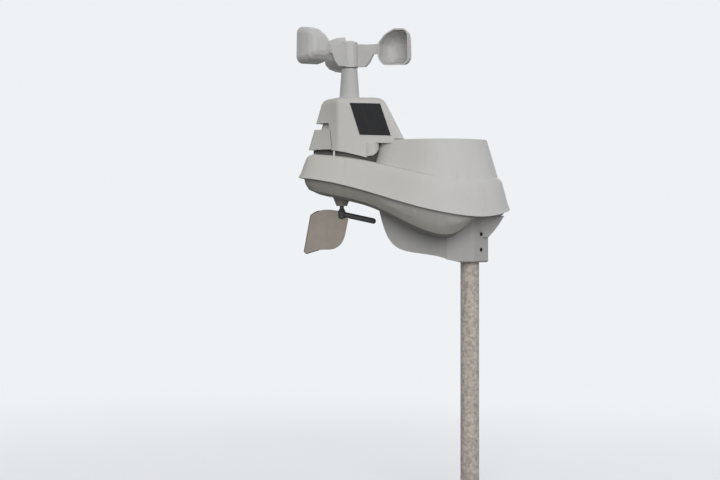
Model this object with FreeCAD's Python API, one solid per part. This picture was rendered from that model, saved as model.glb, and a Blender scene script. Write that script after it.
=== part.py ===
import FreeCAD, Part
import math
import os

# All-in-one weather sensor head on a round pole.  Millimetres, +Z up.
# Origin: centre of the pole's foot.  -X: the nose with the wind instruments.  -Y: the near side.
# Heights below are measured from the bottom of the pole socket and lifted by POLE_EXPOSED on export.

V = FreeCAD.Vector
UP = V(0, 0, 1)
ACROSS = V(0, 1, 0)
FAR_OUT = 300.0               # well outside the head, for cutting tools

# ---- driving dimensions -------------------------------------------------------------------
POLE_EXPOSED = 345.0          # pole below the socket
POLE_R = 13.35                # 3/4 inch nominal pipe, 26.7 mm outside
POLE_WALL = 2.9
FOOT_R = 12.6                 # swaged foot that enters the next length of mast
FOOT_LENGTH = 30.0
SOCKET_DEPTH = 62.0
WALL = 2.5                    # moulded wall
SLIDE_GAP = 0.1               # between a shaft or pipe and the hole it fits into
LOOSE_GAP = 0.4               # between curved faces of neighbouring mouldings
PRESS = 0.02                  # a shaft held fast in its hole

# plan of the base shells: two round ends joined by tangents, stretched along X
STRETCH = 1.22
BASE_NOSE_X = -208.0
BASE_NOSE_FLAT = 14.0
BASE_NOSE_R = 26.0
BASE_TAIL_X = -42.7
BASE_TAIL_R = 78.0
TAIL_FLAT = 2.0
INNER_FINER = 2               # times as many points on hidden inside faces
PLAN_STEPS = (2, 2, 4)        # curve points round the nose, along the side and round the tail

# side profile lines of the shells, as (x, z) points from nose to tail
LIP_LINE = ((-252, 121.5), (-200, 113.7), (-157, 103), (-100, 85), (-43, 71.5), (0, 65.6), (36, 67.0), (60, 76.5))
RIDGE_LINE = ((-252, 154.5), (-186, 150), (-121.6, 138), (-71.5, 126), (-14, 118), (62, 122.5))
HULL_LINE = ((-232, 101), (-200, 93), (-157, 83), (-120, 70), (-85, 49), (-52, 37), (-26, 38), (2, 60),
             (48, 65))

# The skirt: share of the way up from lip to ridge, and the outward offset of the plan there.
SKIRT_SECTIONS = ((1.0, -13.0), (0.965, -9.0), (0.85, -5.6), (0.5, -1.9), (0.2, 1.0), (0.0, 3.9))
SKIRT_ROOM = ((1.0, -13.0), (0.85, -6.0), (0.3, -0.3), (0.0, 3.6))
# The hull below the lip: share of the way up to just above the lip, and the offset there.
HULL_SECTIONS = ((1.0, -2.4), (0.5, -4.3), (0.14, -8.5), (0.0, -20.0))
HULL_ROOM = ((1.0, -5.0), (0.3, -9.5), (0.0, -22.0))
HULL_NECK = -11.5             # offset of the hull where it stands up inside the skirt
HULL_TOP_DROP = 8.0
LIP_OVERLAP = 2.0
NECK_RISE = 12.0

# rain collector
RIM_Z = 173.5
RIM_NOSE_X = -103.0
RIM_NOSE_FLAT = 15.0
RIM_NOSE_R = 20.0
RIM_TAIL_R = 54.7
COLLECTOR_FOOT_Z = 108.0
COLLECTOR_SPREAD = 15.9       # outward growth from rim to foot
LEDGE_Z = RIM_Z - 17.5
FLANGE = 2.5
DECK = 4.0
BULKHEAD_X = -93.0
SCREEN_R = 20.0
SCREEN_Z = 112.0
SPOUT_TIP_Z = 86.0
SPOUT_R = 4.0
SPOUT_X = -50.0
HOPPER_X = -41.0
HOPPER_R = 46.0
HOPPER_SIDES = 16

# louvred tower
TOWER_TOP_Z = RIM_Z + 59.5
TOWER_LOW_Z = 146.0
TOWER_HALF_Y = 36.0
TOWER_TIP_HALF_Y = 4.0
TOWER_EDGE_X = -189.0
TOWER_TIP_X = -209.5          # at the top
TOWER_TAIL_X = -124.5         # at the top
TIP_LEAN = 0.285
TAIL_LEAN = 0.51
TOWER_EDGE_R = 9.0
TOWER_TOP_R = 8.0
SLOT_X = -200.5
SLOT_TOP_Z = TOWER_TOP_Z - 35.5
SLOT_LOW_Z = TOWER_TOP_Z - 44.5
SEAM_LEAN = 0.11
LOUVRE_LOW_Z = 160.0
SKIRT_SPLIT_Z = RIM_Z - 5.0
AIR_GAP_NOSE = 7.2
AIR_GAP_TAIL = 4.8
CORNER_X = -142.0             # rounded corner posts of the tower's skirt
CORNER_Y = 26.0
CORNER_R = 12.0
CORE_FOOT_Z = 155.0
CORE_TAIL_X = -148.5
CORE_INSET = 7.0
CORE_WALL = 2.0
VENT = 3.0
VENT_PITCH = 6.0
PANEL_OUTLINE = ((-172.0, 225.0), (-128.5, 223.8), (-113.2, 178.2), (-157.8, 179.4))
PANEL_POCKET = 1.5
PANEL_FIT = 0.25
PIN_X = -193.5
PIN_Y = 34.0
PIN_R = 1.4

# wind speed rotor
WIND_X = -172.0
POST_TOP_Z = 276.0
POST_TOP_R = 11.3
POST_FOOT_R = 14.2
POST_FLARE = 3.5
WIND_SHAFT_R = 2.0
SHAFT_REACH = 30.0
WASHER = 0.6
HUB_R = 12.0
HUB_FLAT = 10.5
HUB_LOW_Z = POST_TOP_Z + WASHER
HUB_TOP_Z = POST_TOP_Z + 36.0
CUP_Z = HUB_TOP_Z - 8.0
CUP_REST_DEG = -24.0
CUP_DEPTH = 30.0
CUP_WALL = 1.8
CUP_MID = 69.0
CUP_CORNER_R = 10.0
# Mouth of a cup, as (reach from the axis, height from the middle): flat outer end, drawn in towards the hub.
CUP_MOUTH = ((44, 7), (54, 19), (68, 26.5), (90, 25.5), (91, -26), (52, -25), (44, -14))
CUP_CLOSING = ((0.0, 1.0), (0.4, 0.95), (0.75, 0.8), (0.94, 0.57), (1.0, 0.34))   # depth share, size there
WEB_THICK = 5.0

# wind vane
VANE_X = -183.0
VANE_BOSS_LOW_Z = 80.0
VANE_TOP_Z = 73.0
VANE_SHAFT_R = 3.0
VANE_THICK = 2.4
ARM_R = 4.0
ARM_REACH = 46.0
ARM_DROP = 10.0
BEARING_TOP_Z = 101.0

# pole socket
SOCKET_HALF_Y = 25.0
SOCKET_BACK_X = -34.0
SOCKET_FACET_X = 4.0
SOCKET_FRONT_X = 26.0
SOCKET_TOP_Z = 96.0
GUSSET_HALF_Y = 13.0
SCREW_R = 2.9
SCREW_END_R = 17.2            # the clamp screws end below the facets
SCREW_HEIGHTS = (18.0, 40.0)
SCREW_DEG = 43.0
KEEL_NOSE_X = -131.0

# screws that join the two shells
BOSS_SPOTS = ((-196.0, 22.0), (-110.0, 44.0), (10.0, 44.0))
BOSS_R = 5.0
BOSS_SPLIT_Z = 106.0
SCREW_SEAT_DEPTH = 12.0
SCREW_CORE_R = 1.5

# rain bucket and its chamber
BUCKET_PIVOT_Z = 61.0
BUCKET_HALF = 27.0
BUCKET_HALF_Y = 11.0
BUCKET_AXLE_R = 1.5
CHAMBER_FLOOR_Z = 52.0
CHAMBER_HALF = 34.0
CHAMBER_HALF_Y = 20.0
CHEEK_Y = 14.0

# electronics and the aspirating fan
BAY_FLOOR_Z = 108.0
FAN_Z = 176.0
FAN_R = 18.0
FAN_BLADES = 7

NODES = {}


def add(name, shape):
    NODES[name] = shape


# ---- small shape helpers ------------------------------------------------------------------
def box(x0, x1, y0, y1, z0, z1):
    return Part.makeBox(x1 - x0, y1 - y0, z1 - z0, V(x0, y0, z0))


def slab(z0, z1):
    """Everything between two heights."""
    return box(-FAR_OUT, FAR_OUT, -FAR_OUT, FAR_OUT, z0, z1)


def wall_of(x0, x1):
    """Everything between two places along X."""
    return box(x0, x1, -FAR_OUT, FAR_OUT, 0, 2 * FAR_OUT)


def cylinder(x, y, z0, z1, radius):
    return Part.makeCylinder(radius, z1 - z0, V(x, y, z0), UP)


def tube(x, y, z0, z1, outer, inner):
    return cylinder(x, y, z0, z1, outer).cut(cylinder(x, y, z0, z1, inner))


def closed(points):
    return Part.makePolygon(list(points) + [points[0]])


def prism_y(outline, y0, y1):
    """A side outline of (x, z) points pushed across from y0 to y1."""
    face = Part.Face(closed([V(x, y0, z) for x, z in outline]))
    return face.extrude(V(0, y1 - y0, 0))


def revolve(points, x, y):
    """A profile of (radius, z) points turned about a vertical axis at x, y."""
    face = Part.Face(closed([V(x + r, y, z) for r, z in points]))
    return face.revolve(V(x, y, 0), UP, 360)


def mirror_y(shape):
    return shape.mirror(V(0, 0, 0), ACROSS)


def is_upright(edge):
    bounds = edge.BoundBox
    return bounds.ZLength > 5 and bounds.XLength < 0.01 and bounds.YLength < 0.01


def on_plane(edge, z):
    return abs(edge.BoundBox.ZMin - z) < 0.01 and abs(edge.BoundBox.ZMax - z) < 0.01


def softened(corners, radius, round_off=True):
    """A closed wire through corner points with rounded corners, or the points with them cut off."""
    stops = []
    count = len(corners)
    for i, here in enumerate(corners):
        back = corners[i - 1].sub(here)
        ahead = corners[(i + 1) % count].sub(here)
        half_turn = back.getAngle(ahead) / 2
        reach = min(radius / math.tan(half_turn), 0.45 * min(back.Length, ahead.Length))
        first = here.add(back.normalize().multiply(reach))
        last = here.add(ahead.normalize().multiply(reach))
        bend = reach * math.tan(half_turn)
        inward = first.add(last).multiply(0.5).sub(here).normalize()
        middle = here.add(inward.multiply(bend / math.sin(half_turn) - bend))
        stops.append((first, middle, last))
    if not round_off:
        return [point for first, _, last in stops for point in (first, last)]
    edges = []
    for i, (first, middle, last) in enumerate(stops):
        edges.append(Part.Arc(first, middle, last).toShape())
        edges.append(Part.makeLine(last, stops[(i + 1) % count][0]))
    return Part.Wire(edges)


def line_height(line, x):
    """Height on a side line at x: a smooth cubic through the line's points."""
    count = len(line)

    def slope(i):
        a = max(i - 1, 0)
        b = min(i + 1, count - 1)
        return (line[b][1] - line[a][1]) / (line[b][0] - line[a][0])

    i = 0
    while i < count - 2 and x > line[i + 1][0]:
        i += 1
    x0, z0 = line[i]
    x1, z1 = line[i + 1]
    span = x1 - x0
    t = min(max((x - x0) / span, 0.0), 1.0)
    rise = z0 * (2 * t ** 3 - 3 * t ** 2 + 1) + z1 * (3 * t ** 2 - 2 * t ** 3)
    return rise + span * (slope(i) * (t ** 3 - 2 * t ** 2 + t) + slope(i + 1) * (t ** 3 - t ** 2))


# ---- teardrop plans ------------------------------------------------------------------------
def teardrop(offset, finer, nose_x, nose_flat, nose_r, tail_x, tail_r):
    """Near-side plan points, nose to tail, of two round ends joined by a tangent."""
    nose_steps, side_steps, tail_steps = (finer * steps for steps in PLAN_STEPS)
    r1 = nose_r + offset
    r2 = tail_r + offset
    dx = (tail_x - nose_x) / STRETCH
    dy = nose_flat - TAIL_FLAT
    lean = math.atan2(dy, dx) - math.acos((r1 - r2) / math.hypot(dx, dy))
    plan = []
    for k in range(nose_steps + 1):
        a = -math.pi + (lean + math.pi) * k / nose_steps
        plan.append((nose_x + STRETCH * r1 * math.cos(a), -nose_flat + r1 * math.sin(a)))
    start = plan[-1]
    end = (tail_x + STRETCH * r2 * math.cos(lean), -TAIL_FLAT + r2 * math.sin(lean))
    for k in range(1, side_steps):
        share = k / side_steps
        plan.append((start[0] + (end[0] - start[0]) * share, start[1] + (end[1] - start[1]) * share))
    for k in range(tail_steps + 1):
        a = lean * (1 - k / tail_steps)
        plan.append((tail_x + STRETCH * r2 * math.cos(a), -TAIL_FLAT + r2 * math.sin(a)))
    return plan


def base_plan(offset, finer=1):
    return teardrop(offset, finer, BASE_NOSE_X, BASE_NOSE_FLAT, BASE_NOSE_R, BASE_TAIL_X, BASE_TAIL_R)


def rim_plan(offset, finer=1):
    return teardrop(offset, finer, RIM_NOSE_X, RIM_NOSE_FLAT, RIM_NOSE_R, BASE_TAIL_X, RIM_TAIL_R)


def side_points(plan, offset, height, finer=1):
    return [V(x, y, height(x)) for x, y in plan(offset, finer)]


def far_side(point):
    return V(point.x, -point.y, point.z)


def level(plan, offset, height):
    """The four edges of one closed level: near side, far side, nose and tail."""
    near = side_points(plan, offset, height)
    far = [far_side(p) for p in near]
    edges = []
    for side in (near, far):
        curve = Part.BSplineCurve()
        curve.interpolate(side)
        edges.append(curve.toShape())
    edges.append(Part.makeLine(near[0], far[0]))
    edges.append(Part.makeLine(near[-1], far[-1]))
    return edges


def solid_of(faces):
    shell = Part.makeShell(faces)
    shell.sewShape()
    solid = Part.makeSolid(shell)
    if solid.Volume < 0:
        solid.reverse()
    return solid


def moulding(levels):
    """A solid with straight-ruled walls between levels, top first, closed at both ends."""
    wires = [Part.Wire([near, tail, far, nose]) for near, far, nose, tail in levels]
    faces = Part.makeLoft(wires, False, True).Faces
    faces += [Part.makeRuledSurface(lev[0], lev[1]) for lev in (levels[0], levels[-1])]
    return solid_of(faces)


def flat_face(*points):
    return Part.Face(closed(points))


def frustum(low, high):
    """A solid with flat sides between two polygons of as many corners."""
    faces = [flat_face(*low), flat_face(*high)]
    for i in range(len(low)):
        a, b, c, d = low[i - 1], low[i], high[i], high[i - 1]
        if abs(b.sub(a).cross(d.sub(a)).dot(c.sub(a))) < 1e-6:
            faces.append(flat_face(a, b, c, d))
        else:
            faces += [flat_face(a, b, c), flat_face(a, c, d)]
    return solid_of(faces)


def hollow(levels):
    """A hidden hollow: flat facets from point to point, so no wall is thinner than it should be."""
    rows = [side_points(plan, offset, height, INNER_FINER) for plan, offset, height in levels]
    faces = []
    for row in (rows[0], rows[-1]):
        for a, b in zip(row, row[1:]):
            faces.append(flat_face(a, b, far_side(b), far_side(a)))
    for upper, lower in zip(rows, rows[1:]):
        for i in range(len(upper) - 1):
            for corners in ((upper[i], upper[i + 1], lower[i + 1]), (upper[i], lower[i + 1], lower[i])):
                faces.append(flat_face(*corners))
                faces.append(flat_face(*[far_side(p) for p in corners]))
        for end in (0, -1):
            faces.append(flat_face(upper[end], lower[end], far_side(lower[end]), far_side(upper[end])))
    return solid_of(faces)


# ---- the two base shells ----------------------------------------------------------------------
def ridge(x):
    return line_height(RIDGE_LINE, x)


def lip(x):
    return line_height(LIP_LINE, x)


def hull_bottom(x):
    return line_height(HULL_LINE, x)


def up_the_skirt(share, drop):
    return lambda x: lip(x) + share * (ridge(x) - lip(x)) - drop


def skirt_solid():
    return moulding([level(base_plan, offset, up_the_skirt(share, 0)) for share, offset in SKIRT_SECTIONS])


def skirt_inside():
    """The room under the deck: the same surface set in by a wall, open below the lip."""
    room = [(base_plan, offset - WALL, up_the_skirt(share, WALL)) for share, offset in SKIRT_ROOM]
    room.append((base_plan, SKIRT_ROOM[-1][1] - WALL, up_the_skirt(-0.12, WALL)))
    return hollow(room)


def up_the_hull(share, rise):
    return lambda x: hull_bottom(x) + share * (lip(x) + LIP_OVERLAP - hull_bottom(x)) + rise


def hull_neck(offset, top_rise):
    """The hull's upper levels, standing up inside the skirt."""
    return [(base_plan, offset, lambda x: ridge(x) - HULL_TOP_DROP + top_rise),
            (base_plan, offset, lambda x: lip(x) + NECK_RISE)]


def hull_solid():
    lower = [(base_plan, offset, up_the_hull(share, 0)) for share, offset in HULL_SECTIONS]
    return moulding([level(*place) for place in hull_neck(HULL_NECK, 0) + lower])


def hull_room():
    """The hollow of the hull, open at the top."""
    lower = [(base_plan, offset, up_the_hull(share, WALL * (1 - share))) for share, offset in HULL_ROOM]
    return hollow(hull_neck(HULL_NECK - WALL, DECK) + lower)


def collector_levels(offset, *heights):
    levels = []
    for z in heights:
        spread = COLLECTOR_SPREAD * (RIM_Z - z) / (RIM_Z - COLLECTOR_FOOT_Z)
        levels.append((rim_plan, offset + spread, lambda x, z=z: z))
    return levels


def collector_solid(offset, z_top, z_low):
    """The drafted rain collector's outside, or inside with a negative offset."""
    return moulding([level(*place) for place in collector_levels(offset, z_top, z_low)])


# ---- pole and socket ----------------------------------------------------------------------
def make_pole():
    foot_top = -POLE_EXPOSED + FOOT_LENGTH
    pipe = cylinder(0, 0, foot_top, SOCKET_DEPTH, POLE_R).fuse(cylinder(0, 0, -POLE_EXPOSED, foot_top, FOOT_R))
    add("pole", pipe.cut(cylinder(0, 0, -POLE_EXPOSED, SOCKET_DEPTH, POLE_R - POLE_WALL)))


def radial(side_deg, r0, r1, z, radius):
    way = V(math.cos(math.radians(side_deg)), math.sin(math.radians(side_deg)), 0)
    return Part.makeCylinder(radius, r1 - r0, V(0, 0, z).add(V(way).multiply(r0)), way)


def screw_places():
    return [(side, z) for side in (-SCREW_DEG, SCREW_DEG) for z in SCREW_HEIGHTS]


def make_clamp_screws():
    """Four socket screws that bear on the pole."""
    screws = []
    for side, z in screw_places():
        screw = radial(side, POLE_R, SCREW_END_R, z, SCREW_R - SLIDE_GAP)
        screws.append(screw.cut(radial(side, SCREW_END_R - 1.8, SCREW_END_R, z, SCREW_R / 2)))
    add("clamp_screws", Part.makeCompound(screws))


def socket_column():
    """The column round the pole: square behind, with two facets that carry the clamp screws."""
    half = SOCKET_HALF_Y
    plan = [V(SOCKET_BACK_X, -half, 0), V(SOCKET_FACET_X, -half, 0), V(SOCKET_FRONT_X, -3, 0),
            V(SOCKET_FRONT_X, 3, 0), V(SOCKET_FACET_X, half, 0), V(SOCKET_BACK_X, half, 0)]
    column = Part.Face(closed(plan)).extrude(V(0, 0, SOCKET_TOP_Z))
    soft = [e for e in column.Edges if is_upright(e) and abs(e.Vertexes[0].X - SOCKET_FACET_X) < 0.1]
    column = column.makeFillet(8, soft)
    foot = [e for e in column.Edges if on_plane(e, 0.0) and e.BoundBox.XMax > SOCKET_BACK_X + 1]
    column = column.makeChamfer(1.6, foot)
    swept_up = ((SOCKET_BACK_X - 1, -1), (-10, -1), (-14, 0), (SOCKET_BACK_X - 1, 4.4))
    return column.cut(prism_y(swept_up, -FAR_OUT, FAR_OUT))


def gusset():
    """The rib that braces the tail of the hull against the front of the column."""
    outline = ((SOCKET_FACET_X, 34), (SOCKET_FRONT_X, 36), (34, 45), (41, 54.5), (48, 66), (SOCKET_FACET_X, 66))
    return prism_y(outline, -GUSSET_HALF_Y, GUSSET_HALF_Y)


def keel():
    """The boat-like fin that braces the socket: side outline crossed with a flared plan."""
    back = SOCKET_BACK_X + 0.5
    rib = Part.BSplineCurve()
    rib.interpolate([V(KEEL_NOSE_X, -5, 0), V(-100, -11.5, 0), V(-65, -16, 0), V(back, -SOCKET_HALF_Y + 0.2, 0)])
    near = rib.toShape()
    far = mirror_y(near)
    ends = [Part.makeLine(near.valueAt(near.FirstParameter), far.valueAt(far.FirstParameter)),
            Part.makeLine(near.valueAt(near.LastParameter), far.valueAt(far.LastParameter))]
    plan = Part.Face(Part.Wire(Part.__sortEdges__([near, far] + ends)))
    block = plan.extrude(V(0, 0, 2 * SOCKET_TOP_Z))
    top = 80
    curve = Part.BSplineCurve()
    curve.interpolate([V(KEEL_NOSE_X, 0, top), V(-122, 0, 47), V(-107, 0, 23), V(-83, 0, 14.2), V(back, 0, 4.3)])
    edge = curve.toShape()
    low = V(back, 0, 4.3)
    lines = [Part.makeLine(low, V(back, 0, top)), Part.makeLine(V(back, 0, top), V(KEEL_NOSE_X, 0, top))]
    side = Part.Face(Part.Wire([edge] + lines)).extrude(V(0, FAR_OUT, 0))
    return block.common(side.fuse(mirror_y(side)))


def boss_places():
    return [(x, side * y) for x, y in BOSS_SPOTS for side in (-1, 1)]


def vane_boss():
    points = [(0, VANE_BOSS_LOW_Z), (7.5, VANE_BOSS_LOW_Z), (12.5, 92), (16, 106), (0, 106)]
    return revolve(points, VANE_X, 0)


def chamber(grow, z0, z1):
    half_y = CHAMBER_HALF_Y + grow
    return box(SPOUT_X - CHAMBER_HALF - grow, SPOUT_X + CHAMBER_HALF + grow, -half_y, half_y, z0, z1)


def hull_blocks():
    """Solid stretches inside the hull: rain chamber walls, bay floor and screw pillars."""
    blocks = [chamber(3, 0, 98), box(-219, BULKHEAD_X, -27, 27, 0, BAY_FLOOR_Z)]
    blocks += [cylinder(x, y, 0, BOSS_SPLIT_Z, BOSS_R + 1) for x, y in boss_places()]
    return blocks


def make_lower_housing():
    body = hull_solid().cut(hull_room().cut(hull_blocks()))
    body = body.fuse([socket_column(), gusset(), keel(), vane_boss()])
    drain = box(-45, -38, -9, -4, -5, CHAMBER_FLOOR_Z + 1)
    bearing = cylinder(VANE_X, 0, 0, BOSS_SPLIT_Z + DECK, 6.0)
    bearing_seat = cylinder(VANE_X, 0, BEARING_TOP_Z - 3, BOSS_SPLIT_Z + DECK, 9.0)
    room = [cylinder(0, 0, -1, SOCKET_DEPTH, POLE_R + SLIDE_GAP), chamber(0, CHAMBER_FLOOR_Z, RIM_Z),
            drain, bearing, bearing_seat]
    room += [radial(side, 5, 40, z, SCREW_R) for side, z in screw_places()]
    for x, y in boss_places():
        room.append(cylinder(x, y, 0, RIM_Z, SCREW_CORE_R + 0.3))
        room.append(cylinder(x, y, 0, BOSS_SPLIT_Z - SCREW_SEAT_DEPTH, 3.6))
        room.append(cylinder(x, y, BOSS_SPLIT_Z, RIM_Z, BOSS_R + 1.5))
    add("lower_housing", body.cut(room).removeSplitter())


def make_upper_shell():
    body = skirt_solid().fuse(collector_solid(0, RIM_Z, COLLECTOR_FOOT_Z))
    mouth_side = wall_of(BULKHEAD_X + WALL, FAR_OUT)
    low = COLLECTOR_FOOT_Z - DECK
    open_top = collector_solid(-WALL, RIM_Z + 1, LEDGE_Z).common(mouth_side)
    narrow = hollow(collector_levels(-WALL - 3, LEDGE_Z + 1, low)).common(mouth_side)
    nose_room = hollow(collector_levels(-WALL, RIM_Z - DECK, low)).common(wall_of(-200, BULKHEAD_X))
    body = body.cut([skirt_inside(), open_top, narrow, nose_room])
    pad = core_foot(130, CORE_FOOT_Z).cut(prism_y(deck_line(-2.0, -2.0), -60, 60))
    posts = [cylinder(x, y, BOSS_SPLIT_Z, ridge(x) - 2, BOSS_R) for x, y in boss_places()]
    body = body.fuse([pad] + posts)
    holes = [cylinder(x, y, BOSS_SPLIT_Z - 1, BOSS_SPLIT_Z + 9, SCREW_CORE_R) for x, y in boss_places()]
    holes.append(cylinder(PIN_X, -PIN_Y, ridge(PIN_X) - 10, RIM_Z, PIN_R + SLIDE_GAP))
    add("upper_shell", body.cut(holes).removeSplitter())


def hopper(z_top, z_low, inset):
    """A many-sided hopper from the mouth down to the screen seat."""
    sections = []
    for x, radius, z in ((HOPPER_X, HOPPER_R, z_top), (SPOUT_X, SCREEN_R + 3.5, z_low)):
        turns = [2 * math.pi * (k + 0.5) / HOPPER_SIDES for k in range(HOPPER_SIDES)]
        reach = radius - inset
        sections.append([V(x + reach * math.cos(a), reach * math.sin(a), z) for a in turns])
    return frustum(*sections)


def make_rain_funnel():
    """The collecting funnel: flange on the ledge, hopper, screen seat and spout."""
    top = LEDGE_Z + FLANGE
    inside = wall_of(BULKHEAD_X + WALL + LOOSE_GAP, FAR_OUT).common(slab(LEDGE_Z, top))
    flange = collector_solid(-WALL - LOOSE_GAP, RIM_Z, LEDGE_Z - 1).common(inside)
    bowl = cylinder(SPOUT_X, 0, SCREEN_Z - 8, SCREEN_Z + 0.5, SCREEN_R + 2.8)
    spout = Part.makeCone(SPOUT_R + 1.5, 13, 19, V(SPOUT_X, 0, SPOUT_TIP_Z), UP)
    body = flange.fuse([hopper(top, SCREEN_Z, 0), bowl, spout])
    hollow = [hopper(top + 0.5, SCREEN_Z, 2.2),
              cylinder(SPOUT_X, 0, SCREEN_Z - 4, SCREEN_Z + 2, SCREEN_R + SLIDE_GAP),
              Part.makeCone(SPOUT_R, 10.0, 18.0, V(SPOUT_X, 0, SPOUT_TIP_Z), UP),
              Part.makeCone(10.0, SCREEN_R - 4, 4.0, V(SPOUT_X, 0, SCREEN_Z - 8), UP)]
    add("rain_funnel", body.cut(hollow).removeSplitter())


def make_debris_screen():
    """A slotted strainer disc with a finger grip."""
    floor = SCREEN_Z - 4
    disc = cylinder(SPOUT_X, 0, floor, floor + 1.6, SCREEN_R)
    slots = []
    for k in range(-4, 5):
        reach = math.sqrt((SCREEN_R - 3) ** 2 - (k * 3.6) ** 2)
        for side in (-1, 1):
            y0, y1 = sorted((side * 1.2, side * reach))
            slots.append(box(SPOUT_X + k * 3.6 - 1, SPOUT_X + k * 3.6 + 1, y0, y1, floor - 1, floor + 3))
    grip = cylinder(SPOUT_X, 0, floor + 1.6, floor + 9, 3.2)
    add("debris_screen", disc.cut(slots).fuse(grip))


# ---- tower -----------------------------------------------------------------------------------
def tower_outline(z, inset, round_off=True):
    """Plan of the tower at height z: a blunt pointed nose, flat sides and a square tail."""
    drop = TOWER_TOP_Z - z
    tip = TOWER_TIP_X - TIP_LEAN * drop + inset * 1.4
    edge = TOWER_EDGE_X + inset * 0.4
    tail = TOWER_TAIL_X + TAIL_LEAN * drop - inset
    half = TOWER_HALF_Y - inset
    near = [V(tip, -TOWER_TIP_HALF_Y, z), V(edge, -half, z), V(tail, -half, z)]
    far = [V(p.x, -p.y, p.z) for p in reversed(near)]
    return softened(near + far, TOWER_EDGE_R, round_off)


def tower_blank():
    """The whole tower as one block, its top edge rounded in three bands."""
    levels = [tower_outline(TOWER_LOW_Z, 0)]
    for turn in (0, 30, 60, 90):
        a = math.radians(turn)
        drop = TOWER_TOP_R * (1 - math.sin(a))
        inset = TOWER_TOP_R * (1 - math.cos(a))
        levels.append(tower_outline(TOWER_TOP_Z - drop, inset))
    return Part.makeLoft(levels, True, True)


def straight_tower(inset, z_low, z_top):
    """The tower set in by a wall, with its corners cut off straight, for hollows and the core."""
    return Part.makeLoft([closed(tower_outline(z, inset, False)) for z in (z_low, z_top)], True, True)


def tower_room(z_top):
    return straight_tower(WALL, TOWER_LOW_Z - 5, z_top)


def core_solid(inset, z_low, z_top):
    """The recessed inner tower behind the louvres, cut off square behind."""
    return straight_tower(CORE_INSET + inset, z_low, z_top).cut(wall_of(CORE_TAIL_X - inset, 0))


def core_foot(z_low, z_top):
    outline = flat_face(*tower_outline(z_top, CORE_INSET - 1, False))
    return outline.extrude(V(0, 0, z_low - z_top)).cut(wall_of(CORE_TAIL_X + 1, 0))


def nose_side(z0, z1):
    """Everything in front of the slanted seam between louvre and skirt."""
    foot = SLOT_X + SEAM_LEAN * (SLOT_LOW_Z - z0)
    head = SLOT_X + SEAM_LEAN * (SLOT_LOW_Z - z1)
    return prism_y(((-FAR_OUT, z0), (foot, z0), (head, z1), (-FAR_OUT, z1)), -60, 60)


def collector_room():
    return collector_solid(LOOSE_GAP, RIM_Z + 1, COLLECTOR_FOOT_Z)


def deck_line(nose_gap, tail_gap):
    """Side outline that follows the deck at a changing gap above it, closed far below."""
    top = []
    for x in range(-240, -119, 15):
        share = min(max((x + 190.0) / 40.0, 0.0), 1.0)
        top.append((x, ridge(x) + nose_gap + (tail_gap - nose_gap) * share))
    return top + [(-120, 100), (-240, 100)]


def panel(inset, depth):
    """The slanted panel on the near side, from the pocket's floor outward."""
    middle_x = sum(x for x, _ in PANEL_OUTLINE) / 4
    middle_z = sum(z for _, z in PANEL_OUTLINE) / 4
    outline = []
    for x, z in PANEL_OUTLINE:
        outline.append((x - math.copysign(inset, x - middle_x), z - math.copysign(inset, z - middle_z)))
    floor = -TOWER_HALF_Y + PANEL_POCKET
    return prism_y(outline, floor - depth, floor)


def tower_skirt(blank):
    """Both sides of the skirt, with a rounded post at each rear corner."""
    inner = tower_room(SKIRT_SPLIT_Z + 5).cut(wall_of(CORNER_X, 0))
    body = blank.common(wall_of(-FAR_OUT, CORNER_X)).common(slab(0, SKIRT_SPLIT_Z)).cut(inner)
    posts = [cylinder(CORNER_X, side * CORNER_Y, TOWER_LOW_Z, SKIRT_SPLIT_Z, CORNER_R) for side in (-1, 1)]
    hem = ((-150, 100), (-147, 150), (-139, 151), (-134, 154.5), (-130.5, 160), (-129, SKIRT_SPLIT_Z),
           (-100, SKIRT_SPLIT_Z), (-100, 100))
    return body.fuse(posts).cut([nose_side(100, RIM_Z + 10), collector_room(), prism_y(hem, -60, 60),
                                 prism_y(deck_line(AIR_GAP_NOSE, AIR_GAP_TAIL), -60, 60),
                                 core_solid(-1.5, 140, SKIRT_SPLIT_Z + 1)])


def make_tower():
    blank = tower_blank()
    cap = blank.cut([tower_room(TOWER_TOP_Z - 3), nose_side(100, SLOT_TOP_Z), slab(100, SKIRT_SPLIT_Z),
                     collector_room()])
    pocket = panel(0, PANEL_POCKET + 1)
    add("tower_cap", cap.cut([pocket, mirror_y(pocket)]).removeSplitter())

    skirt = tower_skirt(blank)
    for name, side in (("near", -1), ("far", 1)):
        half = box(-FAR_OUT, 0, min(0, side * 60), max(0, side * 60), 100, 300)
        add("tower_skirt_" + name, skirt.common(half).removeSplitter())

    band = blank.common(nose_side(LOUVRE_LOW_Z, SLOT_LOW_Z))
    add("tower_louvre", band.cut([tower_room(SLOT_LOW_Z - WALL), core_solid(-LOOSE_GAP, 100, 240)]).removeSplitter())

    top = TOWER_TOP_Z - 3
    vents = []
    z = CORE_FOOT_Z + 2 * VENT
    while z + VENT < SLOT_LOW_Z:
        vents.append(box(-FAR_OUT, -196, -5.5, 5.5, z, z + VENT))
        z += VENT_PITCH
    inside = core_solid(CORE_WALL, CORE_FOOT_Z - 1, top - CORE_WALL)
    add("tower_core", core_solid(0, CORE_FOOT_Z, top).cut([inside] + vents).removeSplitter())

    plate = panel(PANEL_FIT, PANEL_POCKET - 0.4)
    add("solar_panel_near", plate)
    add("solar_panel_far", mirror_y(plate))
    foot = ridge(PIN_X) - 8
    add("status_pin", cylinder(PIN_X, -PIN_Y, foot, ridge(PIN_X) + AIR_GAP_NOSE - 1, PIN_R))


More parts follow.
